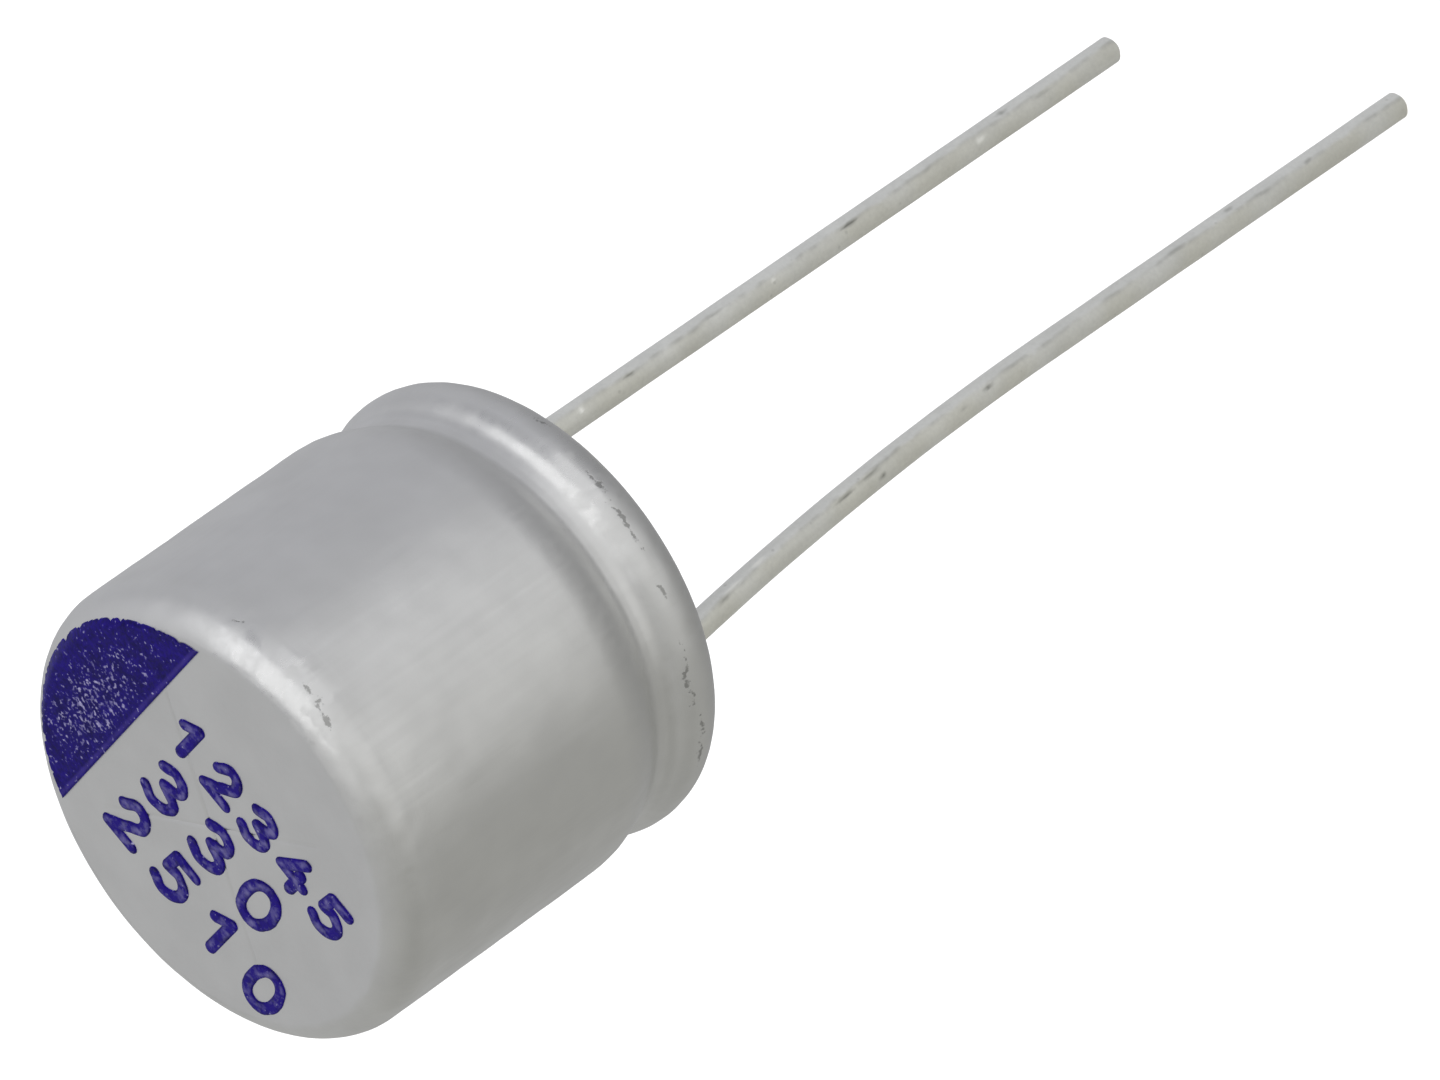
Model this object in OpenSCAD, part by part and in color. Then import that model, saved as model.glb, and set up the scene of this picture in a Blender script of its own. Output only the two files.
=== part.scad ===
// Radial-lead hybrid capacitor: a drawn aluminium can, grooved and curled over a rubber bung,
// round a wound element on two welded leads.
// The origin is the centre of the rim's seat, +Z runs up the can and the leads lie on the X axis.

/* [Can] */
// Outside diameter of the straight wall
can_d = 10.1; // [9:0.05:13]
// Height from the rim's seat to the flat closed end
can_h = 9.5; // [8:0.05:20]
// Thickness of the aluminium sheet
sheet_t = 0.3; // [0.2:0.01:0.36]
// Radius of the drawn corner round the closed end
corner_r = 0.87; // [0.6:0.01:1.2]
// How far the flat end lies below the crown of that corner
flat_drop = 0.05; // [0.02:0.01:0.1]

/* [Groove and rim] */
// Height of the groove's middle above the seat
groove_z = 1.67; // [1.63:0.01:3]
// Depth of the groove below the straight wall
groove_depth = 0.36; // [0.2:0.01:0.41]
// Width of the straight bottom of the groove
groove_w = 0.1; // [0.05:0.01:0.2]
// Radius on either side of the groove's bottom
groove_round = 0.45; // [0.3:0.01:0.55]
// Radius where the wall turns in to the groove
shoulder_round = 2.2; // [1:0.05:3]
// How much less the bead's radius is than the wall's
bead_step = 0.05; // [0.03:0.01:0.12]
// Radius where the groove turns out to the bead
bead_round = 0.65; // [0.5:0.01:0.75]
// Radius where the bead turns under to the seat
curl_round = 0.8; // [0.6:0.01:0.84]
// Width of the flat seat under the rim
seat_w = 0.2; // [0.1:0.01:0.4]
// Radius of the lip that rolls up into the bung
lip_round = 0.45; // [0.4:0.01:0.6]

/* [Vent score] */
// Length of each line of the pressed cross
score_l = 6.2; // [3:0.1:7.5]
// Width of the line, which is half as deep
score_w = 0.12; // [0.05:0.01:0.2]
// Angle of the cross to the line through the leads
score_turn = -35.5; // [-90:0.5:90]

/* [Polarity mark] */
// Distance of the mark's straight edge from the axis
mark_edge = 2.53; // [1.5:0.01:4]
// Radius of the mark's round edge
mark_round = 3.92; // [3:0.01:4.5]
// How far the ink runs past the flat end at the mark's middle, on to the corner
mark_over = 0.22; // [0.05:0.01:0.35]
// Thickness of the ink
ink_t = 0.03; // [0.01:0.01:0.06]

/* [Bung] */
// How far the bung's outer face lies above the seat
bung_inset = 0.1; // [0.05:0.01:0.4]
// Thickness of the bung
bung_h = 3.2; // [2.8:0.05:3.6]
// Clearance round the bung, the leads and the tabs
fit_gap = 0.02; // [0.01:0.005:0.04]

/* [Leads] */
// Distance between the two leads
lead_pitch = 5; // [4:0.1:5.4]
// Diameter of the tinned wire
wire_d = 0.6; // [0.45:0.01:0.8]
// Straight stub of each lead below the seat
stub_l = 0.9; // [0.8:0.1:2]
// Length of the shorter lead below the seat
cathode_l = 19.15; // [5:0.05:30]
// Length of the longer lead below the seat
anode_l = 23.95; // [16:0.05:35]
// Lean of the shorter lead, towards the other
cathode_lean = 0.6; // [0.1:0.1:3]
// Bend of the longer lead under its stub, towards the other
anode_kick = 6.5; // [1:0.1:10]
// Straight run of the longer lead between that bend and its bow
anode_run_l = 0.6; // [0.2:0.1:2]
// Radius of the bow that brings the longer lead back
anode_bow_r = 90; // [30:1:100]
// Lean of the longer lead past its bow, away from the other
anode_lean = 0.85; // [0.1:0.05:3]
// Radius of the bend under each stub
bend_r = 1.5; // [0.8:0.1:3]
// Chamfer left at the cut end of the wire
tip_chamfer = 0.07; // [0.02:0.01:0.15]

/* [Tabs] */
// Diameter of the aluminium boss in the bung
boss_d = 1.3; // [1:0.05:1.8]
// Depth of the weld behind the bung's outer face
weld_depth = 0.8; // [0.5:0.05:1.5]
// Diameter of the wire's flared end at the weld
flare_d = 0.85; // [0.75:0.01:0.95]
// Width of the flat tab
tab_w = 1.6; // [1:0.05:2.4]
// Thickness of the flat tab
tab_t = 0.25; // [0.15:0.01:0.4]

/* [Wound element] */
// Room between the bung and the element
element_lift = 0.3; // [0.2:0.05:0.6]
// Room between the element and the closed end
element_headroom = 0.3; // [0.1:0.05:0.6]
// Room between the element's tape and the can's wall
element_clear = 0.15; // [0.05:0.01:0.3]
// How much of the element lies past the ends of the tabs
tab_cover = 1.5; // [0.5:0.1:2.5]
// Diameter of the hole left by the winding spindle
core_d = 0.9; // [0.5:0.05:1.5]
// Thickness of the tape round the element
tape_t = 0.06; // [0.03:0.01:0.1]
// Bare band left above and below the tape
tape_margin = 0.7; // [0.3:0.1:1.5]

/* [Hidden] */
$fn = 96;
bow_fn = 1440;

can_r = can_d / 2;
bead_r = can_r - bead_step;
groove_r = can_r - groove_depth;
// Height between the centres of two rounds that touch, where the surface steps in by depth
function rise(depth, rounds) = sqrt(2 * depth * rounds - depth * depth);
groove_top = groove_z + groove_w / 2;
groove_foot = groove_z - groove_w / 2;
shoulder_z = groove_top + rise(groove_depth, shoulder_round + groove_round);
bead_z = groove_foot - rise(bead_r - groove_r, bead_round + groove_round);
// Centres of the rounds down the can's section, as [radius, height]
corner_c = [can_r - corner_r, can_h + flat_drop - corner_r];
shoulder_c = [can_r - shoulder_round, shoulder_z];
groove_top_c = [groove_r + groove_round, groove_top];
groove_foot_c = [groove_r + groove_round, groove_foot];
bead_c = [bead_r - bead_round, bead_z];
curl_c = [bead_r - curl_round, curl_round];
lip_c = [curl_c.x - seat_w, lip_round];
lip_r = lip_c.x - lip_round;
flat_r = corner_c.x + sqrt(pow(corner_r, 2) - pow(corner_r - flat_drop, 2));
// Radius that the ink reaches at the mark's middle
mark_reach = flat_r + mark_over;

bung_top = bung_inset + bung_h;
weld_z = bung_inset + weld_depth;
element_z = bung_top + element_lift;
element_h = can_h - sheet_t - element_headroom - element_z;
tape_r = can_r - sheet_t - element_clear;
element_r = tape_r - tape_t;
tab_end = element_z + element_h - tab_cover;
function arc_l(turn, radius) = abs(turn) * PI / 180 * radius;
// Each length of wire starts this far inside the one before it, and is finer by this much
wire_lap = 0.02;
wire_step = 0.002;

aluminium = [0.79, 0.79, 0.78];
bare_aluminium = [0.84, 0.84, 0.85];
tin = [0.73, 0.73, 0.69];
rubber = [0.13, 0.13, 0.14];
foil_roll = [0.42, 0.40, 0.37];
amber_tape = [0.80, 0.58, 0.20];
violet_ink = [0.17, 0.11, 0.50];

// Half section inside the can's outer surface, moved in by inset
module can_fill(inset) {
    difference() {
        union() {
            polygon([
                [0, inset], [curl_c.x, inset], curl_c,
                [bead_r - inset, curl_c.y], [bead_r - inset, bead_c.y], bead_c,
                groove_foot_c, groove_top_c, shoulder_c, [can_r - inset, shoulder_c.y],
                [can_r - inset, corner_c.y], corner_c,
                [corner_c.x, can_h], [0, can_h]
            ]);
            translate(curl_c) circle(curl_round - inset);
            translate(bead_c) circle(bead_round - inset);
            translate(shoulder_c) circle(shoulder_round - inset);
            translate(corner_c) circle(corner_r - inset);
        }
        translate(groove_top_c) circle(groove_round + inset);
        translate(groove_foot_c) circle(groove_round + inset);
        translate([groove_r - inset, groove_foot]) square([groove_round + inset, groove_w]);
        translate([0, can_h - inset]) square([can_d, corner_r]);
    }
}

// Rolled edge of the sheet, from the seat up into the bung
module lip_section() {
    intersection() {
        translate(lip_c) difference() {
            circle(lip_round);
            circle(lip_round - sheet_t);
        }
        translate([lip_r, 0]) square([lip_round, lip_round]);
    }
}

module can_section() {
    difference() {
        can_fill(0);
        can_fill(sheet_t);
        square([lip_c.x, lip_round]);
    }
    lip_section();
}

module score_line(turn) {
    translate([0, 0, can_h]) rotate([0, 0, turn]) rotate([45, 0, 0])
        cube([score_l, score_w / sqrt(2), score_w / sqrt(2)], center = true);
}

module can() {
    color(aluminium) difference() {
        rotate_extrude() can_section();
        score_line(score_turn);
        score_line(score_turn + 90);
    }
}

// Section of the bung: it fills the can's mouth, stands on the lip and shows inside it
module bung_section() {
    intersection() {
        can_fill(sheet_t + fit_gap);
        translate([0, lip_round]) square([can_d, bung_top - lip_round]);
    }
    translate([0, bung_inset]) square([lip_r - fit_gap, bung_top - bung_inset]);
}

// Stepped hole that takes one lead and its boss
module lead_hole() {
    translate([0, 0, bung_inset])
        cylinder(h = weld_depth, d1 = wire_d + 2 * fit_gap, d2 = flare_d + 2 * fit_gap);
    translate([0, 0, weld_z]) cylinder(h = bung_h, d = boss_d + 2 * fit_gap);
}

module rubber_bung() {
    color(rubber) difference() {
        rotate_extrude() bung_section();
        for (side = [-1, 1]) translate([side * lead_pitch / 2, 0, 0]) lead_hole();
    }
}

// Bend of the wire towards +X, or towards -X where turn is negative
module wire_bend(turn, radius, d) {
    mirror([turn < 0 ? 1 : 0, 0, 0]) translate([radius, 0, 0]) mirror([1, 0, 0]) rotate([90, 0, 0])
        rotate_extrude(angle = abs(turn), $fn = bow_fn) translate([radius, 0]) circle(d = d);
}

// Puts its children at the end of a bend
module past_bend(turn, radius) {
    translate([sign(turn) * radius * (1 - cos(turn)), 0, radius * sin(abs(turn))])
        rotate([0, turn, 0]) children();
}

// Straight wire with a chamfered cut end
module wire_tail(length, d) {
    cylinder(h = length - tip_chamfer, d = d);
    translate([0, 0, length - tip_chamfer]) cylinder(h = tip_chamfer, d1 = d, d2 = d - 2 * tip_chamfer);
}

// Wire along +Z: each step is a straight length, a turn and its radius, and a straight tail ends it
module wire(steps, tail, d) {
    if (len(steps) == 0) {
        wire_tail(tail, d);
    } else {
        straight = steps[0][0];
        turn = steps[0][1];
        radius = steps[0][2];
        cylinder(h = straight, d = d);
        translate([0, 0, straight - wire_lap]) {
            wire_bend(turn, radius, d - wire_step);
            past_bend(turn, radius) translate([0, 0, -wire_lap])
                wire([for (i = [1 : 1 : len(steps) - 1]) steps[i]], tail, d - 2 * wire_step);
        }
    }
}

// Length of wire that the steps take up, less where each length starts inside the one before
function taken(steps) = [for (s = steps) s[0] + arc_l(s[1], s[2]) - 2 * wire_lap] * [for (s = steps) 1];

// Flared weld end in the bung, and the wire that leaves the bung's face below it
module lead(x, steps, length) {
    color(tin) translate([x, 0, bung_inset]) {
        cylinder(h = weld_depth, d1 = wire_d, d2 = flare_d);
        mirror([0, 0, 1]) wire(steps, bung_inset + length - taken(steps), wire_d);
    }
}

module cathode_lead() {
    lead(-lead_pitch / 2, [[bung_inset + stub_l, cathode_lean, bend_r]], cathode_l);
}

module anode_lead() {
    steps = [
        [bung_inset + stub_l, -anode_kick, bend_r],
        [anode_run_l, anode_kick + anode_lean, anode_bow_r]
    ];
    lead(lead_pitch / 2, steps, anode_l);
}

// Round boss in the bung, pressed out to a flat tab in the element
module tab(x) {
    color(bare_aluminium) translate([x, 0, 0]) {
        translate([0, 0, weld_z]) cylinder(h = bung_top - weld_z, d = boss_d);
        translate([0, 0, bung_top]) intersection() {
            cylinder(h = element_lift, d = boss_d);
            rotate([90, 0, 0]) linear_extrude(boss_d, center = true) polygon([
                [-boss_d / 2, 0], [boss_d / 2, 0], [tab_t / 2, element_lift], [-tab_t / 2, element_lift]
            ]);
        }
        translate([-tab_t / 2, -tab_w / 2, bung_top + element_lift / 2])
            cube([tab_t, tab_w, tab_end - bung_top - element_lift / 2]);
    }
}

module cathode_tab() {
    tab(-lead_pitch / 2);
}

module anode_tab() {
    tab(lead_pitch / 2);
}

module wound_element() {
    slot = [tab_t + 2 * fit_gap, tab_w + 2 * fit_gap, 2 * (tab_end + fit_gap - element_z)];
    color(foil_roll) translate([0, 0, element_z]) difference() {
        cylinder(h = element_h, r = element_r);
        translate([0, 0, -element_h / 2]) cylinder(h = 2 * element_h, d = core_d);
        for (side = [-1, 1]) translate([side * lead_pitch / 2, 0, 0]) cube(slot, center = true);
    }
}

module winding_tape() {
    color(amber_tape) translate([0, 0, element_z + tape_margin]) difference() {
        cylinder(h = element_h - 2 * tape_margin, r = tape_r);
        translate([0, 0, -element_h / 2]) cylinder(h = 2 * element_h, r = element_r);
    }
}

// Film of ink over the flat end and the start of its corner, between a round edge and a straight one
module polarity_mark() {
    color(violet_ink) intersection() {
        rotate_extrude() intersection() {
            difference() {
                translate([0, ink_t]) can_fill(0);
                can_fill(0);
            }
            translate([0, corner_c.y]) square([(mark_reach + can_r) / 2, can_h]);
        }
        translate([mark_round - mark_reach, 0, 0]) cylinder(h = 2 * can_h, r = mark_round);
        translate([-can_d - mark_edge, -can_d, 0]) cube([can_d, 2 * can_d, 2 * can_h]);
    }
}

can();
rubber_bung();
cathode_lead();
anode_lead();
cathode_tab();
anode_tab();
wound_element();
winding_tape();
polarity_mark();
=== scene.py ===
"""Finished surfaces of a radial-lead hybrid capacitor, and the studio that it is seen in."""

import math

import bmesh
import bpy
from bpy.props import FloatProperty, FloatVectorProperty, IntProperty, PointerProperty, StringProperty
from mathutils import Matrix, Vector, noise


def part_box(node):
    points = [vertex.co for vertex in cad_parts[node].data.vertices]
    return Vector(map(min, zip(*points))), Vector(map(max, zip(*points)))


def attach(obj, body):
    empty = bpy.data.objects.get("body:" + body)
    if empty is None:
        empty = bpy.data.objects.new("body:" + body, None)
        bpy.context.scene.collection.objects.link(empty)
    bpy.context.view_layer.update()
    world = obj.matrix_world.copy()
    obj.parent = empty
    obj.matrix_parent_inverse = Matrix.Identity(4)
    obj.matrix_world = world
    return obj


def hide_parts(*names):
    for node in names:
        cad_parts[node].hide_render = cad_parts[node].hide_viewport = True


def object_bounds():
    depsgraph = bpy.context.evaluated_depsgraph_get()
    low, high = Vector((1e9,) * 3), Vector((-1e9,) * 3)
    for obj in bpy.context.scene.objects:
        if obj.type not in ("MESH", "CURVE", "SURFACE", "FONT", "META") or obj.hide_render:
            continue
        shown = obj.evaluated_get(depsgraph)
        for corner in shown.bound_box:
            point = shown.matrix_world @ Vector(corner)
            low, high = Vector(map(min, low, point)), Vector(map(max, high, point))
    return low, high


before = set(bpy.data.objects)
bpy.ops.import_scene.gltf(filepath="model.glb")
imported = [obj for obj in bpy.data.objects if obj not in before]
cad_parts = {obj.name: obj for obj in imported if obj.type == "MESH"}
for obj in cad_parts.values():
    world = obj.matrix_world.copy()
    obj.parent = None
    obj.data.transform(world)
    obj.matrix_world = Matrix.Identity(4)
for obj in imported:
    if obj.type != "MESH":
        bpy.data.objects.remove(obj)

bl_info = {
    "name": "Hybrid capacitor",
    "version": (1, 0, 0),
    "blender": (4, 5, 0),
    "location": "3D View > Sidebar > Capacitor",
    "description": "Builds the finished surfaces of a radial-lead hybrid capacitor on its packed solids",
    "category": "Object",
}

CAD_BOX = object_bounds()
CAN_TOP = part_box("can")[1]
MM = 0.001

# Edges that turn by more than this are shaded sharp
SHARP = math.radians(32)
# Points closer to a cutting plane than this count as lying on it
SNAP = 0.001 * MM
# Spacing of the rings along a wire, in millimetres
RING_STEP = 0.1
# How much higher than the film a round stroke stands before its top is flattened
CROWN = 1.6
# Steps, in degrees, that round off a stroke's end
END_STEPS = ((0, 25), (25, 50), (50, 75))
# Seed of the noise by which the strokes' edges stray
STRAY_SEED = 1

# Strokes of each number in a box one high: a ring is closed, a bow is smooth and a bar has straight pieces
NUMBER_STROKES = {
    "0": [("ring", [(0.36, 1.0), (0.04, 0.5), (0.36, 0.0), (0.68, 0.5)])],
    "1": [("bar", [(0.1, 0.74), (0.42, 1.0), (0.42, 0.02)])],
    "2": [
        ("bow", [(0.06, 0.74), (0.34, 1.0), (0.62, 0.74), (0.4, 0.38), (0.05, 0.02)]),
        ("bar", [(0.05, 0.02), (0.68, 0.04)]),
    ],
    "3": [
        ("bow", [(0.08, 0.88), (0.36, 1.0), (0.6, 0.77), (0.3, 0.54)]),
        ("bow", [(0.3, 0.54), (0.66, 0.28), (0.35, 0.0), (0.05, 0.13)]),
    ],
    "4": [("bar", [(0.44, 1.0), (0.04, 0.36), (0.7, 0.36)]), ("bar", [(0.5, 0.62), (0.5, 0.0)])],
    "5": [
        ("bar", [(0.64, 1.0), (0.16, 1.0), (0.12, 0.58)]),
        ("bow", [(0.12, 0.58), (0.42, 0.62), (0.66, 0.32), (0.36, 0.0), (0.05, 0.12)]),
    ],
}

# Rows of numbers: millimetres across and up to the first number, step to the next one, and height
NUMBER_ROWS = [
    ("first_row", -1.86, 0.8, 1.1, 0.98),
    ("second_row", -1.6, -1.02, 1.45, 1.2),
    ("third_row", -1.65, -2.75, 1.4, 1.14),
]

# Dark pits and painted highlights on each wire: millimetres below the seat, degrees round the wire, half
# length, half width, and tone, which is a dark pit above zero and a painted highlight below it
CATHODE_PITS_AND_HIGHLIGHTS = [
    (11.1, 99, 0.2, 0.03, 0.85), (4.65, 97, 0.13, 0.03, 0.7), (3.2, 88, 0.06, 0.05, -0.9),
    (8.8, 84, 0.05, 0.03, -0.7), (15.8, 124, 0.1, 0.05, 0.5), (14.95, 80, 0.08, 0.05, -0.7),
    (16.85, 92, 0.2, 0.04, 0.25), (7.25, 97, 0.2, 0.03, -0.4), (6.55, 100, 0.12, 0.03, 0.25),
    (12.85, 250, 0.2, 0.03, 0.7),
]
ANODE_PITS_AND_HIGHLIGHTS = [
    (7.9, 60, 0.06, 0.045, 0.75), (6.85, 92, 0.2, 0.03, 0.7), (7.65, 95, 0.25, 0.025, 0.55),
    (11.25, 88, 0.1, 0.04, 0.7), (3.4, 112, 0.2, 0.03, -0.6), (3.05, 97, 0.14, 0.03, 0.5),
    (4.25, 117, 0.2, 0.03, -0.5), (21, 104, 0.1, 0.04, 0.45), (18.7, 128, 0.1, 0.05, 0.4),
    (10.45, 75, 0.08, 0.03, 0.3), (15.35, 270, 0.25, 0.04, 0.7), (5.55, 300, 0.14, 0.03, 0.6),
]
# The line that the drawing die left: degrees round the wire, half its width in degrees, and darkest tone
DIE_LINE = 104
DIE_WIDTH = 9
DIE_TONE = 0.42
# The wire's side painted as shade, yellower and darker: degrees over which it sets in at that line, and
# fades on the far side
SHADE_SIDE_START = 16
SHADE_SIDE_END = 30

# Scuffs on the can: degrees round the axis, height in millimetres, half width in degrees, half height
CAN_SCUFFS = [
    (92, 9.1, 4, 0.13), (88, 9.14, 4, 0.12), (96, 9, 4, 0.1), (120, 8.86, 3, 0.1), (48, 1.05, 14, 0.09),
    (32, 0.88, 6, 0.1), (24, 0.89, 8, 0.09), (117, 0.53, 4, 0.12), (97, 0.73, 7, 0.14), (86, 0.9, 12, 0.1),
    (69, 0.97, 4, 0.1), (-60, 0.95, 12, 0.09), (-115, 9.07, 8, 0.14), (-20, 8.95, 9, 0.1),
]

# Formed zones of the can: heights and reach, in millimetres, over which the corner sets in and the bead ends
CORNER_HEIGHT = (8.3, 8.6)
CORNER_REACH = (4.4, 4.5)
BEAD_HEIGHT = (1.3, 1.5)

# Degrees round the can over which handling rubbed these zones bright
RUBBED_START = (93, 98)
RUBBED_CORNER_END = (110, 120)
RUBBED_BEAD_END = (126, 138)

# Where the painted highlights on the field of ink gather thickest, in millimetres: its middle and half its
# size
PAINTED_GLINT_MIDDLE = (-3.35, -0.5, CAN_TOP.z / MM)
PAINTED_GLINT_SIZE = (0.75, 2.3, 1.0)

# Soft lights: width and height in metres, degrees round the can, degrees above level, distance in metres
KEY_LIGHT = ((0.3, 0.2), 127, 50, 0.2)
FILL_LIGHT = ((0.12, 0.075), 82, -8, 0.06)

# Range that most values of a noise lie in, and a narrower one
USUAL = (0.3, 0.7)
MIDDLE = (0.35, 0.65)

# Kinds of socket on a node group
NUMBER = "NodeSocketFloat"
VECTOR = "NodeSocketVector"


def length(name, description, millimetres):
    return FloatProperty(
        name=name, description=description, default=millimetres * MM, unit="LENGTH", precision=5)


def angle(name, description, degrees):
    return FloatProperty(
        name=name, description=description, default=math.radians(degrees), unit="ROTATION")


def power(name, description, watts):
    return FloatProperty(name=name, description=description, default=watts, unit="POWER", precision=4)


def colour(name, description, rgb):
    return FloatVectorProperty(
        name=name, description=description, default=(*rgb, 1.0), size=4, min=0, max=1, subtype="COLOR")


def vector(name, description, xyz, subtype):
    return FloatVectorProperty(name=name, description=description, default=xyz, subtype=subtype)


def plain_text(name, description, default):
    return StringProperty(name=name, description=description, default=default)


class CanSizes(bpy.types.PropertyGroup):
    wall_radius: length("Wall radius", "Outside radius of the straight wall", CAN_TOP.x / MM)
    height: length("Height", "Height of the flat end above the seat", CAN_TOP.z / MM)
    corner_round: length("Corner round", "Radius of the drawn corner round the closed end", 0.87)
    flat_drop: length("Flat drop", "How far the flat end lies below the crown of the corner", 0.05)
    groove_height: length("Groove height", "Height of the groove's middle above the seat", 1.67)
    groove_depth: length("Groove depth", "Depth of the groove below the wall", 0.36)
    groove_width: length("Groove width", "Width of the groove's straight bottom", 0.1)
    groove_round: length("Groove round", "Radius on either side of the groove's bottom", 0.45)
    shoulder_round: length("Shoulder round", "Radius where the wall turns in to the groove", 2.2)
    bead_step: length("Bead step", "How much less the bead's radius is than the wall's", 0.05)
    bead_round: length("Bead round", "Radius where the groove turns out to the bead", 0.65)
    curl_round: length("Curl round", "Radius where the bead turns under to the seat", 0.8)
    seat_width: length("Seat width", "Width of the flat seat under the rim", 0.2)
    lip_round: length("Lip round", "Radius of the lip that rolls up into the bung", 0.45)
    sheet: length("Sheet", "Thickness of the aluminium sheet", 0.3)
    dents: length("Dents", "Depth of the slight unevenness left by drawing and curling", 0.014)
    score_reach: length("Score reach", "Length of each arm of the vent's cross", 3.1)
    score_width: length("Score width", "Width of the pressed line", 0.1)
    score_depth: length("Score depth", "Depth of the pressed line", 0.02)
    score_turn: angle("Score turn", "Angle of the cross to the line through the leads", -35.5)
    facets: IntProperty(name="Facets", description="Faces round the can", default=256, min=64)


class LeadSizes(bpy.types.PropertyGroup):
    pitch: length("Pitch", "Distance between the two leads", 5)
    wire_radius: length("Wire radius", "Radius of the tinned wire", 0.3)
    stub: length("Stub", "Straight stub below the seat", 0.9)
    cathode_length: length("Cathode length", "Shorter lead's length below the seat", 19.15)
    anode_length: length("Anode length", "Longer lead's length below the seat", 23.95)
    cathode_lean: angle("Cathode lean", "Lean of the shorter lead towards the other", 0.6)
    anode_kick: angle("Anode kick", "Bend of the longer lead under its stub", 6.5)
    anode_run: length("Anode run", "Straight run between that bend and the bow", 0.56)
    anode_bow: length("Anode bow", "Radius of the bow that brings the longer lead back", 90)
    anode_lean: angle("Anode lean", "Lean of the longer lead past its bow", 0.85)
    bend_radius: length("Bend radius", "Radius of the bend under each stub", 1.5)
    tip_chamfer: length("Tip chamfer", "Chamfer left at the cut end", 0.07)
    flare_radius: length("Flare radius", "Radius of the wire's flared end at the weld", 0.425)
    weld_height: length("Weld height", "Height of the weld above the seat", 0.9)
    face_height: length("Face height", "Height of the bung's outer face above the seat", 0.1)
    dents: length("Dents", "Depth of the slight unevenness along the wire", 0.008)
    pits: length("Pits", "Depth of the dark marks", 0.012)


class PrintSizes(bpy.types.PropertyGroup):
    mark_edge: length("Mark edge", "Distance of the mark's straight edge from the axis", 2.53)
    mark_round: length("Mark round", "Radius of the mark's round edge", 3.92)
    mark_over: length("Mark over", "How far the ink runs past the flat end at the mark's middle", 0.22)
    ragged: length("Ragged edge", "How far the ink's round edge is frayed", 0.1)
    film: length("Film", "Thickness of the ink", 0.03)
    stroke: length("Stroke", "Width of the printed strokes", 0.29)
    wobble: length("Wobble", "How far the strokes' edges stray", 0.02)
    first_row: plain_text("First row", "Plain numbers in the first row", "12345")
    second_row: plain_text("Second row", "Plain numbers in the second row", "330")
    third_row: plain_text("Third row", "Plain numbers in the third row", "2510")


class FinishColours(bpy.types.PropertyGroup):
    aluminium: colour("Aluminium", "Satin drawn can", (0.8, 0.8, 0.79))
    scuffed: colour("Scuffed aluminium", "Rubbed and dirty spots on the can", (0.3, 0.3, 0.29))
    tin: colour("Tin", "Tinned wire", (0.74, 0.745, 0.72))
    # Painted shade: the colour of the wire's side away from the light
    warm_tin: colour("Warm tin", "Duller, yellower side of the tinned wire", (0.66, 0.655, 0.59))
    # Painted highlight: pale tin painted where the wire catches the light
    bright_tin: colour("Bright tin", "Bright spots on the tinned wire", (0.95, 0.95, 0.9))
    tarnish: colour("Tarnish", "Dark pits in the tin", (0.13, 0.13, 0.11))
    rubber: colour("Rubber", "Bung", (0.018, 0.018, 0.019))
    ink: colour("Ink", "Dark violet print", (0.0095, 0.0015, 0.17))
    # Painted highlight: colour of the glints painted into the print
    glint: colour("Glint", "Small glints in the print", (0.6, 0.56, 0.88))
    # Painted highlight: the paler line along the rounded straight edge of the ink
    thin_ink: colour("Thin ink", "Paler line along the mark's straight edge", (0.07, 0.045, 0.36))
    tab: colour("Tab", "Bare aluminium of the tabs", (0.86, 0.86, 0.87))
    foil: colour("Foil", "Ends of the wound foils", (0.42, 0.4, 0.37))
    paper: colour("Paper", "Separator between the foils", (0.62, 0.56, 0.45))
    tape: colour("Tape", "Film that closes the roll", (0.68, 0.4, 0.07))
    floor: colour("Floor", "Pale studio floor", (0.92, 0.92, 0.92))


class StudioSettings(bpy.types.PropertyGroup):
    camera_place: vector("Camera", "Camera's place", (0.03076, 0.29234, 0.19716), "TRANSLATION")
    camera_ahead: vector("Ahead", "Camera's viewing direction", (-0.083, -0.8209, -0.565), "XYZ")
    camera_up: vector("Up", "Camera's upward direction", (-0.7766, 0.4085, -0.4795), "XYZ")
    lens: FloatProperty(name="Lens", description="Focal length", default=450, unit="CAMERA")
    key_power: power("Key", "Power of the main soft light", 0.106)
    fill_power: power("Fill", "Power of the low soft light", 0.009)
    cool: colour("Cool side", "Light from the side of the shorter lead", (0.52, 0.525, 0.555))
    warm: colour("Warm side", "Light from the side of the longer lead", (0.395, 0.395, 0.375))
    floor_size: length("Floor size", "Half the width of the floor", 600)


class SectionPen:
    """Draws a half section as a chain of edges: lines by extruding the last point, rounds by spinning it."""

    def __init__(self, bm, radius, height):
        self.bm = bm
        self.tip = bm.verts.new((radius, 0, height))

    def line(self, radius, height, steps=1):
        start = self.tip.co.copy()
        end = Vector((radius, 0, height))
        for step in range(1, steps + 1):
            self.tip = bmesh.ops.extrude_vert_indiv(self.bm, verts=[self.tip])["verts"][0]
            self.tip.co = start.lerp(end, step / steps)

    def turn(self, centre, turn, steps):
        made = bmesh.ops.spin(
            self.bm, geom=[self.tip], cent=(centre[0], 0, centre[1]), axis=(0, 1, 0), angle=turn,
            steps=steps)
        self.tip = [part for part in made["geom_last"] if isinstance(part, bmesh.types.BMVert)][0]


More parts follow.
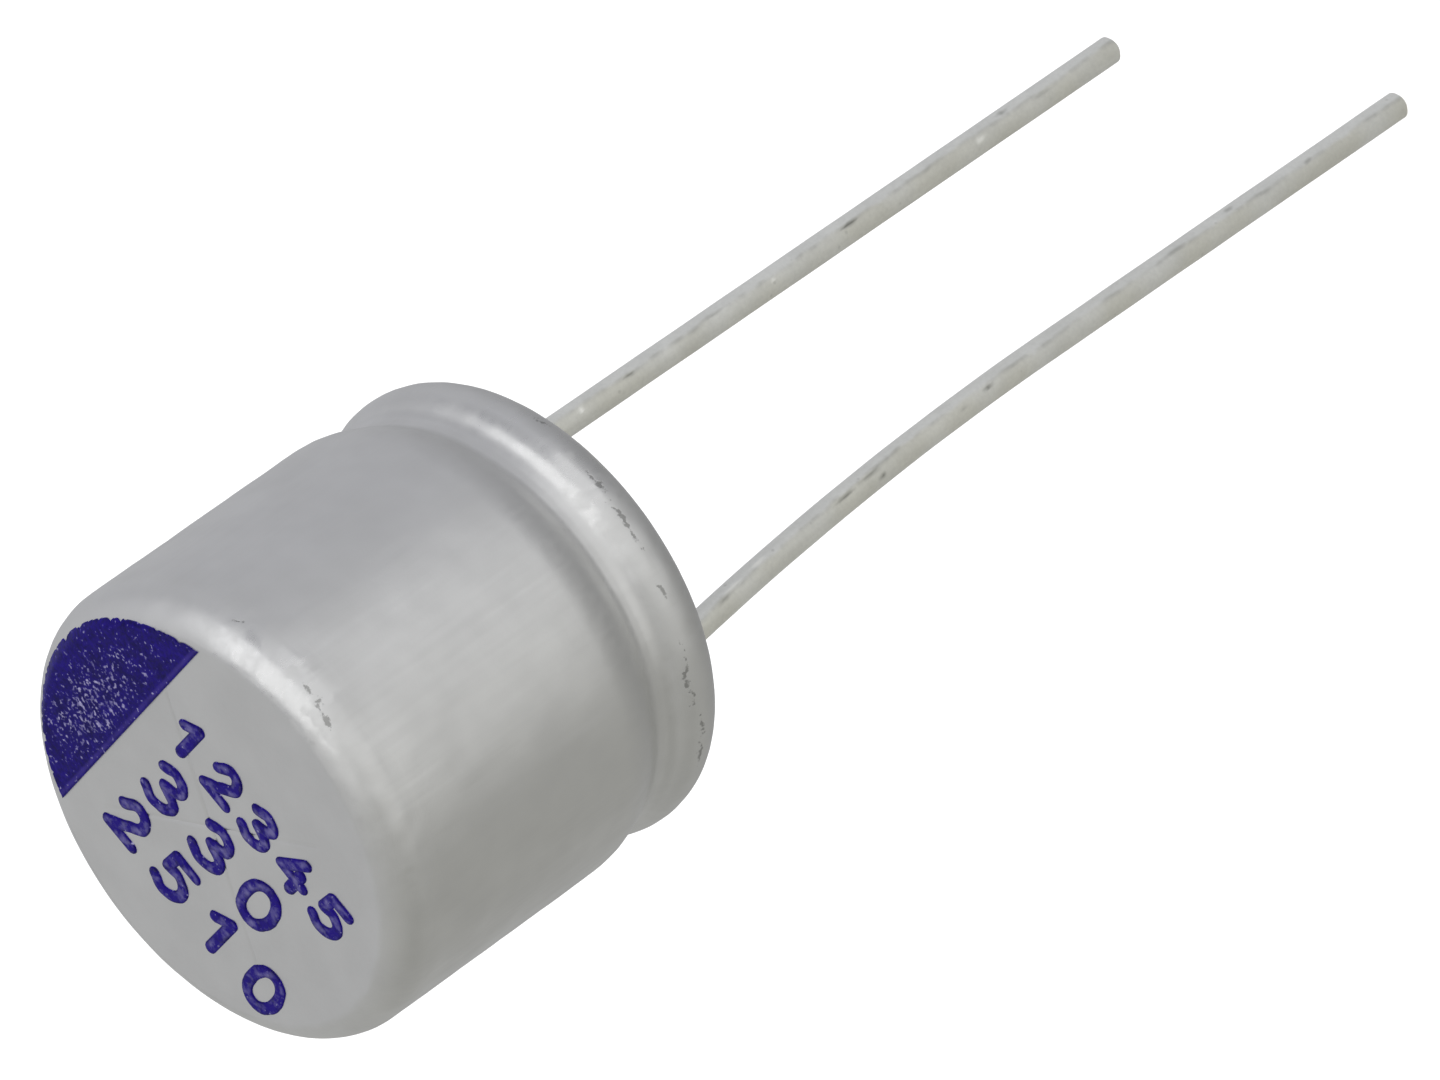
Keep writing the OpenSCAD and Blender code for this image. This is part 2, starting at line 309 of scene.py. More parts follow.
class WirePen:
    """Draws a round wire ring by ring: runs by extruding the last ring, bends by spinning it."""

    def __init__(self, bm, at, radius, sides=48):
        self.bm = bm
        self.at = Vector(at)
        self.ahead = Vector((0, 0, -1))
        place = Matrix.Translation(self.at)
        ring = bmesh.ops.create_circle(bm, segments=sides, radius=radius, matrix=place)["verts"]
        self.ring = list(dict.fromkeys(edge for vert in ring for edge in vert.link_edges))

    def run(self, distance, steps=1, grow=1.0):
        for _ in range(steps):
            made = bmesh.ops.extrude_edge_only(self.bm, edges=self.ring)["geom"]
            verts = [part for part in made if isinstance(part, bmesh.types.BMVert)]
            edges = [part for part in made if isinstance(part, bmesh.types.BMEdge)]
            self.ring = [edge for edge in edges if edge.verts[0] in verts and edge.verts[1] in verts]
            bmesh.ops.translate(self.bm, vec=self.ahead * distance / steps, verts=verts)
            self.at += self.ahead * distance / steps
            bmesh.ops.scale(self.bm, vec=(grow, grow, 1), space=Matrix.Translation(-self.at), verts=verts)

    def bend(self, turn, radius, steps):
        side = 1 if turn > 0 else -1
        swing = Matrix.Rotation(-turn, 3, "Y")
        pivot = self.at + side * radius * Vector((-self.ahead.z, 0, self.ahead.x))
        made = bmesh.ops.spin(
            self.bm, geom=self.ring, cent=pivot, axis=(0, 1, 0), angle=-turn, steps=steps)
        self.ring = [part for part in made["geom_last"] if isinstance(part, bmesh.types.BMEdge)]
        self.at = pivot + swing @ (self.at - pivot)
        self.ahead = swing @ self.ahead

    def close(self):
        bmesh.ops.contextual_create(self.bm, geom=self.ring)


class Nodes:
    """Adds shader nodes to a tree and joins them."""

    def __init__(self, tree):
        self.tree = tree

    def feed(self, socket, value):
        """Links another node's output to a socket, or fills the socket with a plain value."""
        if isinstance(value, bpy.types.NodeSocket):
            self.tree.links.new(value, socket)
        else:
            socket.default_value = value

    def add(self, kind, inputs=None, **settings):
        """Adds a node, sets it up and feeds its inputs."""
        node = self.tree.nodes.new(kind)
        for key, value in settings.items():
            setattr(node, key, value)
        for key, value in (inputs or {}).items():
            self.feed(node.inputs[key], value)
        return node

    def effect(self, make, inputs):
        """Places a shared effect, which is made at its first use, and gives its output."""
        name = make.__name__.replace("_", " ").capitalize()
        group = bpy.data.node_groups.get(name) or make(name)
        return self.add("ShaderNodeGroup", inputs, node_tree=group).outputs[0]

    def reckon(self, operation, first, second=0.0):
        return self.add("ShaderNodeMath", {0: first, 1: second}, operation=operation).outputs[0]

    def plus(self, first, second):
        return self.reckon("ADD", first, second)

    def minus(self, first, second):
        return self.reckon("SUBTRACT", first, second)

    def times(self, first, second):
        return self.reckon("MULTIPLY", first, second)

    def most(self, first, second):
        return self.reckon("MAXIMUM", first, second)

    def vector(self, operation, first, second=(0, 0, 0)):
        outputs = self.add("ShaderNodeVectorMath", {0: first, 1: second}, operation=operation).outputs
        return outputs["Value" if operation == "LENGTH" else "Vector"]

    def axes(self, vector):
        return self.add("ShaderNodeSeparateXYZ", {"Vector": vector}).outputs

    def noise(self, place, scale, detail=3.0, roughness=0.55):
        inputs = {"Vector": place, "Scale": scale, "Detail": detail, "Roughness": roughness}
        return self.add("ShaderNodeTexNoise", inputs).outputs["Fac"]

    def spread(self, value, low, high, start=0.0, end=1.0):
        """Maps a value from start..end to low..high."""
        inputs = {"Value": value, "From Min": start, "From Max": end, "To Min": low, "To Max": high}
        return self.add("ShaderNodeMapRange", inputs).outputs[0]

    def rises(self, value, start, end):
        """Goes from 0 to 1 while the value goes from start to end."""
        return self.spread(value, 0.0, 1.0, start, end)

    def falls(self, value, start, end):
        """Goes from 1 to 0 while the value goes from start to end."""
        return self.spread(value, 1.0, 0.0, start, end)

    def blend(self, share, first, second):
        """Mixes two colours, from all of the first at 0 to all of the second at 1."""
        node = self.add("ShaderNodeMix", data_type="RGBA", clamp_factor=True)
        sockets = {socket.identifier: socket for socket in node.inputs}
        self.feed(sockets["Factor_Float"], share)
        self.feed(sockets["A_Color"], first)
        self.feed(sockets["B_Color"], second)
        return next(socket for socket in node.outputs if socket.identifier == "Result_Color")


class Effect(Nodes):
    """Starts a shader node group with these inputs and one output."""

    def __init__(self, name, inputs, output):
        super().__init__(bpy.data.node_groups.new(name, "ShaderNodeTree"))
        for key, kind in inputs.items():
            self.tree.interface.new_socket(key, in_out="INPUT", socket_type=kind)
        self.tree.interface.new_socket(output, in_out="OUTPUT", socket_type=NUMBER)
        self.given = self.add("NodeGroupInput").outputs
        self.put = self.add("NodeGroupOutput").inputs[output]


class Finish(Nodes):
    """Starts a material on Object coordinates in millimetres, with its plain values set on the shader."""

    def __init__(self, name, **constants):
        self.material = bpy.data.materials.new(name)
        self.material.use_nodes = True
        super().__init__(self.material.node_tree)
        self.shader = self.tree.nodes["Principled BSDF"]
        for key, value in constants.items():
            self.shader.inputs[key.replace("_", " ")].default_value = value
        coords = self.add("ShaderNodeTexCoord").outputs["Object"]
        scale = (1 / MM, 1 / MM, 1 / MM)
        self.place = self.add("ShaderNodeMapping", {"Vector": coords, "Scale": scale}).outputs[0]

    def grain(self, scale, **settings):
        return self.noise(self.place, scale, **settings)

    def streaks(self, across, along):
        return self.effect(drawn_streaks, {"Vector": self.place, "Across": across, "Along": along})

    def pits(self, scale, share):
        return self.effect(scattered_pits, {"Vector": self.place, "Scale": scale, "Share": share})

    def attribute(self, name):
        return self.add("ShaderNodeAttribute", attribute_name=name).outputs["Fac"]

    def paint(self, tone):
        self.feed(self.shader.inputs["Base Color"], tone)

    def dull(self, roughness):
        self.feed(self.shader.inputs["Roughness"], roughness)

    def emboss(self, height, depth):
        """Feeds a height, in millimetres of depth, to the shader's normal."""
        bump = self.add("ShaderNodeBump", {"Height": height, "Distance": depth * MM})
        self.feed(self.shader.inputs["Normal"], bump.outputs[0])


def rise(depth, rounds):
    """Height between the centres of two rounds that touch, where the surface steps in by depth."""
    return math.sqrt(2 * depth * rounds - depth * depth)


def corner_of(size):
    """Centre of the drawn corner, the flat end's radius and the angle where the corner starts."""
    centre = (size.wall_radius - size.corner_round, size.height + size.flat_drop - size.corner_round)
    start = math.acos(1 - size.flat_drop / size.corner_round)
    return centre, centre[0] + size.corner_round * math.sin(start), start


def limited(value):
    return min(1, max(0, value))


def half_turn(degrees):
    """The same angle between -180 and 180 degrees."""
    return (degrees + 180) % 360 - 180


def shaded(tone, rgba):
    return (rgba[0] * tone, rgba[1] * tone, rgba[2] * tone, 1.0)


def add_piece(name, bm, material, slot, *nodes):
    """Makes the finished mesh a piece that rides on the part and stands for the nodes."""
    for face in bm.faces:
        face.smooth = True
    mesh = bpy.data.meshes.new(name)
    bm.to_mesh(mesh)
    bm.free()
    mesh.materials.append(material)
    mesh.set_sharp_from_angle(angle=SHARP)
    piece = bpy.data.objects.new(name, mesh)
    bpy.context.scene.collection.objects.link(piece)
    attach(piece, "root")
    if nodes:
        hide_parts(*nodes)


def drawn_streaks(name):
    """Fine lines along the Z axis, as drawing leaves them."""
    group = Effect(name, {"Vector": VECTOR, "Across": NUMBER, "Along": NUMBER}, "Streaks")
    across, along = group.given["Across"], group.given["Along"]
    stretch = group.add("ShaderNodeCombineXYZ", {"X": across, "Y": across, "Z": along}).outputs[0]
    place = group.vector("MULTIPLY", group.given["Vector"], stretch)
    group.feed(group.put, group.noise(place, 1.0, roughness=0.6))
    return group.tree


def scattered_pits(name):
    """Small round spots in a share of the cells of a grid."""
    group = Effect(name, {"Vector": VECTOR, "Scale": NUMBER, "Share": NUMBER}, "Pits")
    inputs = {"Vector": group.given["Vector"], "Scale": group.given["Scale"]}
    cells = group.add("ShaderNodeTexVoronoi", inputs).outputs
    spot = group.falls(cells["Distance"], 0.12, 0.32)
    pick = group.add("ShaderNodeSeparateColor", {0: cells["Color"]}).outputs[0]
    group.feed(group.put, group.times(spot, group.reckon("LESS_THAN", pick, group.given["Share"])))
    return group.tree


def worn_patch(name):
    """Cluster of specks round a centre: its size each way, and the grain that breaks it up."""
    inputs = {"Vector": VECTOR, "Centre": VECTOR, "Size": VECTOR, "Grain": NUMBER}
    group = Effect(name, inputs, "Patch")
    away = group.vector("SUBTRACT", group.given["Vector"], group.given["Centre"])
    far = group.vector("LENGTH", group.vector("DIVIDE", away, group.given["Size"]))
    near = group.spread(far, 1.5, 0.0)
    specks = group.spread(group.given["Grain"], -0.7, 0.7, *USUAL)
    group.feed(group.put, group.rises(group.plus(near, specks), 0.8, 1.2))
    return group.tree


def satin_aluminium(colours):
    """Drawn sheet: streaks, clouds and scuffs, duller on the corner and the bead but for rubbed patches."""
    metal = Finish("satin_aluminium", Metallic=1.0)
    streaks = metal.streaks(across=9.0, along=0.35)
    grain = metal.grain(9.0, detail=4.0, roughness=0.65)
    clouds = metal.grain(0.7, detail=2.0)

    axes = metal.axes(metal.place)
    reach = metal.vector("LENGTH", metal.vector("MULTIPLY", metal.place, (1, 1, 0)))
    corner = metal.times(metal.rises(axes["Z"], *CORNER_HEIGHT), metal.rises(reach, *CORNER_REACH))
    bead = metal.falls(axes["Z"], *BEAD_HEIGHT)
    formed = metal.most(bead, corner)

    turn = metal.times(metal.reckon("ARCTAN2", axes["Y"], axes["X"]), math.degrees(1))
    wander = metal.spread(metal.grain(2.5, detail=1.0), -0.08, 0.08, *USUAL)
    unrolled = metal.add("ShaderNodeCombineXYZ", {"X": turn, "Y": metal.plus(axes["Z"], wander)}).outputs[0]
    scuffs = 0.0
    for degrees, height, half_width, half_height in CAN_SCUFFS:
        patch = metal.effect(worn_patch, {
            "Vector": unrolled, "Centre": (degrees, height, 0), "Size": (half_width, half_height, 1),
            "Grain": grain})
        scuffs = metal.most(scuffs, patch)
    clean = metal.blend(
        metal.rises(clouds, *MIDDLE), colours.aluminium, shaded(0.95, colours.aluminium))
    metal.paint(metal.blend(metal.times(scuffs, 0.7), clean, colours.scuffed))

    ragged = metal.plus(turn, metal.spread(metal.grain(1.6, detail=2.0), -14.0, 14.0, *USUAL))
    on_corner = metal.times(corner, metal.falls(ragged, *RUBBED_CORNER_END))
    on_bead = metal.times(bead, metal.falls(ragged, *RUBBED_BEAD_END))
    rubbed = metal.times(metal.rises(ragged, *RUBBED_START), metal.most(on_corner, on_bead))
    polish = metal.times(formed, metal.spread(rubbed, -0.08, 0.09))
    satin = metal.plus(metal.spread(streaks, 0.33, 0.45, *USUAL), metal.spread(clouds, -0.03, 0.03, *USUAL))
    metal.dull(metal.minus(satin, polish))

    lines = metal.plus(metal.times(streaks, 0.6), metal.times(grain, 0.4))
    waves = metal.minus(metal.grain(2.0, detail=0.0), 0.5)
    ripples = metal.times(waves, metal.times(formed, 5.0))
    raised = metal.plus(metal.times(lines, metal.spread(formed, 1.0, 0.1)), ripples)
    metal.emboss(metal.minus(raised, scuffs), depth=0.004)
    return metal.material


def tinned_wire(colours):
    """Dull tin with drawing streaks; its dark pits, painted highlights and painted shade side are written on
    the mesh.
    """
    tin = Finish("tinned_wire", Metallic=0.6)
    streaks = tin.streaks(across=9.0, along=0.5)
    clouds = tin.grain(1.6)
    specks = tin.grain(11.0, roughness=0.65)
    warmth = tin.attribute("warmth")
    dark = tin.most(tin.attribute("tarnish"), tin.times(tin.pits(scale=6.0, share=0.04), 0.2))
    # Painted shade: one side of the wire is painted yellower and darker
    sides = tin.blend(warmth, colours.tin, colours.warm_tin)
    dulled = tin.blend(warmth, shaded(0.9, colours.tin), shaded(0.9, colours.warm_tin))
    clean = tin.blend(tin.rises(tin.plus(clouds, specks), 0.75, 1.25), sides, dulled)
    # Painted highlights: pale spots mixed into the tin's colour
    bright = tin.blend(tin.attribute("shine"), clean, colours.bright_tin)
    tin.paint(tin.blend(dark, bright, colours.tarnish))
    tin.dull(tin.plus(tin.spread(streaks, 0.28, 0.46, *USUAL), tin.times(dark, 0.2)))
    tin.emboss(tin.plus(streaks, clouds), depth=0.004)
    return tin.material


def violet_ink(colours, mark_edge):
    """Thick print with painted highlights: glint spots in the field, lighter crowns on the strokes, and a
    paler line along the straight edge.
    """
    ink = Finish("violet_ink", Roughness=0.25, Specular_IOR_Level=0.1)
    clouds = ink.grain(2.2)
    fine = ink.grain(4.0)
    turned = ink.add("ShaderNodeMapping", {"Vector": ink.place, "Rotation": (0.5, 0.4, 0.6)}).outputs[0]
    pimples = ink.noise(turned, 10.5, detail=1.0)
    core = ink.rises(ink.attribute("crown"), 0.5, 0.95)

    away = ink.vector("SUBTRACT", ink.place, PAINTED_GLINT_MIDDLE)
    far = ink.vector("LENGTH", ink.vector("DIVIDE", away, PAINTED_GLINT_SIZE))
    glint_density = ink.spread(far, 0.2, 0.04, 0.4, 1.3)
    # Painted highlights: glint spots, thickest in the middle of the field
    spots = ink.rises(ink.plus(pimples, glint_density), 0.72, 0.84)
    # Painted highlights: pale streaks along the stroke crowns
    streaks = ink.times(core, ink.spread(fine, 0.0, 0.32, 0.45, 0.68))
    glints = ink.most(ink.times(spots, ink.spread(fine, 0.2, 1.0, *MIDDLE)), streaks)

    inside = ink.minus(-mark_edge / MM, ink.axes(ink.place)["X"])
    # Painted highlight: a paler line just inside the straight edge
    edge_line = ink.times(ink.rises(inside, 0.02, 0.06), ink.falls(inside, 0.1, 0.15))
    # Random ink tone, with painted highlight: lighter along the stroke crowns
    thickness = ink.plus(ink.plus(clouds, pimples), ink.times(core, 0.25))
    body = ink.blend(
        ink.rises(thickness, 0.75, 1.25), shaded(0.65, colours.ink), shaded(1.55, colours.ink))
    lined = ink.blend(ink.times(edge_line, fine), body, colours.thin_ink)
    # Painted highlights are mixed into the ink's colour here
    ink.paint(ink.blend(glints, lined, colours.glint))
    ink.emboss(ink.plus(spots, fine), depth=0.012)
    return ink.material


def black_rubber(colours):
    rubber = Finish("black_rubber", Specular_IOR_Level=0.4)
    grain = rubber.grain(16.0)
    bloom = rubber.rises(rubber.grain(1.1), 0.35, 0.75)
    rubber.paint(rubber.blend(bloom, colours.rubber, shaded(2.2, colours.rubber)))
    rubber.dull(rubber.spread(grain, 0.55, 0.8))
    rubber.emboss(grain, depth=0.01)
    return rubber.material


def bare_tab(colours):
    tab = Finish("bare_tab", Metallic=1.0)
    streaks = tab.streaks(across=12.0, along=0.8)
    tab.paint(tab.blend(tab.pits(scale=5.0, share=0.1), colours.tab, shaded(0.6, colours.tab)))
    tab.dull(tab.spread(streaks, 0.25, 0.5))
    tab.emboss(streaks, depth=0.006)
    return tab.material


def rolled_foil(colours):
    """Rings of foil and separator, as the ends of a wound roll show."""
    roll = Finish("rolled_foil")
    inputs = {"Vector": roll.place, "Scale": 3.2, "Distortion": 0.6, "Detail": 2.0}
    rings = roll.add("ShaderNodeTexWave", inputs, wave_type="RINGS", rings_direction="Z").outputs["Fac"]
    roll.paint(roll.blend(rings, colours.foil, colours.paper))
    roll.feed(roll.shader.inputs["Metallic"], roll.spread(rings, 0.9, 0.0, 0.2, 0.6))
    roll.dull(roll.spread(roll.grain(9.0), 0.4, 0.7))
    roll.emboss(rings, depth=0.02)
    return roll.material


def amber_film(colours):
    film = Finish("amber_film", Coat_Weight=0.3)
    creases = film.streaks(across=1.2, along=6.0)
    film.paint(film.blend(creases, colours.tape, shaded(0.6, colours.tape)))
    film.dull(film.spread(creases, 0.22, 0.4))
    film.emboss(creases, depth=0.006)
    return film.material


def pale_floor(colours):
    floor = Finish("pale_floor", Roughness=0.9, Emission_Color=(1, 1, 1, 1), Emission_Strength=0.75)
    floor.paint(floor.blend(floor.grain(0.02), colours.floor, shaded(0.985, colours.floor)))
    return floor.material


def press_score(bm, size):
    """Cuts the flat end along both lines of the cross and lowers the middle of each line."""
    half = size.score_width / 2
    reach = size.score_reach
    stops = (0, half, 2 * half, reach - 2 * half, reach, reach + half)
    turns = (size.score_turn, size.score_turn + math.pi / 2)
    axes = [Vector((math.cos(turn), math.sin(turn), 0)) for turn in turns]
    for axis in axes:
        for offset in sorted({side * stop for stop in stops for side in (-1, 1)}):
            high = [face for face in bm.faces if face.calc_center_median().z > size.height - half]
            flat = [face for face in high if face.normal.z > 0.999]
            parts = list(dict.fromkeys(
                part for face in flat for part in (face, *face.edges, *face.verts)))
            bmesh.ops.bisect_plane(bm, geom=parts, dist=SNAP, plane_co=axis * offset, plane_no=axis)
    close = half / 10
    for vert in bm.verts:
        along, across = (abs(vert.co.dot(axis)) for axis in axes)
        on_line = min(along, across) < close and max(along, across) < reach - half
        if on_line and vert.co.z > size.height - close:
            vert.co.z -= size.score_depth


class CAPACITOR_OT_can(bpy.types.Operator):
    """Spin the drawn can from its half section and press the vent's cross into its end"""

    bl_idname = "capacitor.can"
    bl_label = "Can"

    def execute(self, context):
        size = context.scene.capacitor_can
        bm = bmesh.new()
        self.section(bm, size)
        bmesh.ops.spin(
            bm, geom=bm.verts[:] + bm.edges[:], cent=(0, 0, 0), axis=(0, 0, 1), angle=math.tau,
            steps=size.facets, use_merge=True)
        top = [edge for edge in bm.edges if edge.is_boundary and edge.verts[0].co.z > size.height / 2]
        flat = bmesh.ops.contextual_create(bm, geom=top)["faces"]
        bmesh.ops.recalc_face_normals(bm, faces=bm.faces)
        border = 0.1 * MM
        bmesh.ops.inset_region(bm, faces=flat, thickness=border, use_even_offset=True)
        self.dent(bm, size)
        press_score(bm, size)
        bmesh.ops.solidify(bm, geom=bm.faces[:], thickness=size.sheet)
        add_piece("can_shell", bm, satin_aluminium(context.scene.capacitor_finish), "can_aluminium", "can")
        return {"FINISHED"}

    def section(self, bm, size):
        """Draws the sheet's outer side from the flat end's edge to the lip."""
        bead = size.wall_radius - size.bead_step
        groove = size.wall_radius - size.groove_depth
        upper = size.shoulder_round + size.groove_round
        lower = size.bead_round + size.groove_round
        groove_top = size.groove_height + size.groove_width / 2
        groove_foot = size.groove_height - size.groove_width / 2
        shoulder_z = groove_top + rise(size.groove_depth, upper)
        bead_z = groove_foot - rise(bead - groove, lower)
        upper_turn = math.acos(1 - size.groove_depth / upper)
        lower_turn = math.acos(1 - (bead - groove) / lower)
        corner, flat_radius, corner_start = corner_of(size)
        lip = (bead - size.curl_round - size.seat_width, size.lip_round)

        pen = SectionPen(bm, flat_radius, size.height)
        pen.turn(corner, math.pi / 2 - corner_start, steps=16)
        pen.line(size.wall_radius, shoulder_z, steps=24)
        pen.turn((size.wall_radius - size.shoulder_round, shoulder_z), upper_turn, steps=12)
        pen.turn((groove + size.groove_round, groove_top), -upper_turn, steps=10)
        pen.line(groove, groove_foot, steps=2)
        pen.turn((groove + size.groove_round, groove_foot), -lower_turn, steps=10)
        pen.turn((bead - size.bead_round, bead_z), lower_turn, steps=12)
        pen.line(bead, size.curl_round, steps=3)
        pen.turn((bead - size.curl_round, size.curl_round), math.pi / 2, steps=14)
        pen.line(lip[0], 0)
        pen.turn(lip, math.pi / 2, steps=12)

    def dent(self, bm, size):
        """Draws the sides in by slight waves, and leaves the seat and the flat end as they are."""
        margin = 0.02 * MM
        for vert in bm.verts:
            if margin < vert.co.z < size.height - margin:
                wave = noise.noise(vert.co / MM * 0.8) + 0.5 * noise.noise(vert.co / MM * 2.4)
                keep = 1 - size.dents * min(1, abs(wave)) / vert.co.xy.length
                vert.co.x *= keep
                vert.co.y *= keep


class CAPACITOR_OT_bung(bpy.types.Operator):
    """Finish the rubber bung"""

    bl_idname = "capacitor.bung"
    bl_label = "Bung"

    def execute(self, context):
        rubber = black_rubber(context.scene.capacitor_finish)
        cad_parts["rubber_bung"].material_slots[0].material = rubber
        return {"FINISHED"}


class CAPACITOR_OT_leads(bpy.types.Operator):
    """Draw both tinned wires from their welds to their cut ends, with dark pits and painted highlights"""

    bl_idname = "capacitor.leads"
    bl_label = "Leads"

    def execute(self, context):
        size = context.scene.capacitor_leads
        material = tinned_wire(context.scene.capacitor_finish)
        first = size.face_height + size.stub
        self.wire(size, "cathode", -size.pitch / 2, size.cathode_length, CATHODE_PITS_AND_HIGHLIGHTS, material, [
            (first, size.cathode_lean, size.bend_radius)])
        self.wire(size, "anode", size.pitch / 2, size.anode_length, ANODE_PITS_AND_HIGHLIGHTS, material, [
            (first, -size.anode_kick, size.bend_radius),
            (size.anode_run, size.anode_kick + size.anode_lean, size.anode_bow)])
        return {"FINISHED"}

    def wire(self, size, pole, x, reach, pits_and_highlights, material, steps):
        """Draws one wire along its runs and bends, and weathers it."""
        bm = bmesh.new()
        left = size.face_height + reach
        pen = WirePen(bm, (x, 0, size.weld_height), size.flare_radius)
        pen.run(size.weld_height - size.face_height, 4, (size.wire_radius / size.flare_radius) ** (1 / 4))
        for straight, turn, radius in steps:
            arc = abs(turn) * radius
            pen.run(straight, max(2, int(straight / MM / RING_STEP)))
            pen.bend(turn, radius, max(3, int(arc / MM / RING_STEP)))
            left -= straight + arc
        pen.run(left - size.tip_chamfer, int(left / MM / RING_STEP))
        pen.run(size.tip_chamfer, 3, ((size.wire_radius - size.tip_chamfer) / size.wire_radius) ** (1 / 3))
        pen.close()
        bmesh.ops.contextual_create(bm, geom=[edge for edge in bm.edges if edge.is_boundary])
        bmesh.ops.recalc_face_normals(bm, faces=bm.faces)
        self.weather(bm, size, x, pits_and_highlights)
        add_piece(pole + "_wire", bm, material, "lead_tin", pole + "_lead")

    def weather(self, bm, size, x, pits_and_highlights):
        """Dents the wire slightly, and writes its dark pits, painted highlights, die line and painted shade
        side to the mesh.
        """
        tarnish, shine, warmth = map(bm.verts.layers.float.new, ("tarnish", "shine", "warmth"))
        radius = size.wire_radius / MM
        rings = {}
        for vert in bm.verts:
            rings.setdefault(round(vert.co.z / MM, 1), []).append(vert.co.x)
        centres = {height: sum(xs) / len(xs) for height, xs in rings.items()}
        bm.normal_update()
        bare = [vert for vert in bm.verts if vert.co.z <= -0.2 * MM]
        for vert in bare:
            spot = vert.co / MM
            height = vert.co.z / MM
            turn = math.degrees(math.atan2(vert.co.y, vert.co.x - centres[round(height, 1)]))
            along = Vector((x / MM, 0, height))
            die_line = DIE_LINE + 9 * noise.noise(along * 0.5) + 7 * noise.noise(along * 3)
            past = half_turn(turn - die_line)
            patchy = 0.85 + 0.8 * noise.noise(spot * 0.9)
            # Painted shade on one side of the wire, from the die line round
            vert[warmth] = patchy * limited(0.5 - past / SHADE_SIDE_START) * limited((past + 180) / SHADE_SIDE_END)
            worn = max(0, 0.3 + noise.noise(along * 0.8) + 0.6 * noise.noise(along * 5))
            vert[tarnish] = min(DIE_TONE, 0.4 * worn) * math.exp(-(past / DIE_WIDTH) ** 2)
            for below, degrees, half_length, half_width, tone in pits_and_highlights:
                lengthwise = (-height - below) / half_length
                if abs(lengthwise) < 3:
                    crosswise = math.radians(half_turn(turn - degrees)) * radius / half_width
                    ragged = 1 + 0.7 * noise.noise(spot * 14)
                    weight = min(1, 1.6 * math.exp(-(lengthwise ** 2 + crosswise ** 2) * ragged))
                    # A tone above zero is a dark pit, below zero a painted highlight
                    layer = tarnish if tone > 0 else shine
                    vert[layer] = max(vert[layer], abs(tone) * weight)
            sink = 0.5 + 0.5 * noise.noise(Vector((spot.x, spot.y, height * 0.4)) * 2.0)
            vert.co -= vert.normal * (size.dents * sink + size.pits * vert[tarnish])


class CAPACITOR_OT_mark(bpy.types.Operator):
    """Lay the field of ink that marks the shorter lead's side of the closed end"""

    bl_idname = "capacitor.mark"
    bl_label = "Polarity mark"

    def execute(self, context):
        size = context.scene.capacitor_can
        ink = context.scene.capacitor_print
        corner, flat_radius, _ = corner_of(size)
        middle = Vector((ink.mark_round - flat_radius - ink.mark_over, 0, 0))
        inner = 0.98 * (ink.mark_edge + middle.x)
        bm = bmesh.new()
        pen = SectionPen(bm, middle.x + inner, 0)
        pen.line(middle.x + ink.mark_round, 0, steps=40)
        bmesh.ops.spin(
            bm, geom=bm.verts[:] + bm.edges[:], cent=middle, axis=(0, 0, 1), angle=math.tau, steps=540,
            use_merge=True)
        bmesh.ops.bisect_plane(
            bm, geom=bm.verts[:] + bm.edges[:] + bm.faces[:], plane_co=(-ink.mark_edge, 0, 0),
            plane_no=(1, 0, 0), clear_outer=True)
        bmesh.ops.recalc_face_normals(bm, faces=bm.faces)
        if sum(face.normal.z for face in bm.faces) < 0:
            bmesh.ops.reverse_faces(bm, faces=bm.faces)
        for vert in bm.verts:
            out = vert.co - middle
            rim = (middle + out.normalized() * ink.mark_round) / MM
            frayed = noise.noise(rim * 4.0) + noise.noise(rim * 11.0)
            share = max(0, 1 - (ink.mark_round - out.length) / (2 * ink.ragged))
            vert.co -= out.normalized() * ink.ragged * share * limited(frayed)
            over = max(0, vert.co.length - flat_radius)
            beyond = flat_radius + over - corner[0]
            drop = size.height - corner[1] - math.sqrt(size.corner_round ** 2 - beyond ** 2)
            vert.co.z = size.height + ink.film - (drop if over else 0)
        bmesh.ops.solidify(bm, geom=bm.faces[:], thickness=ink.film)
        material = violet_ink(context.scene.capacitor_finish, ink.mark_edge)
        add_piece("ink_field", bm, material, "violet_ink", "polarity_mark")
        return {"FINISHED"}


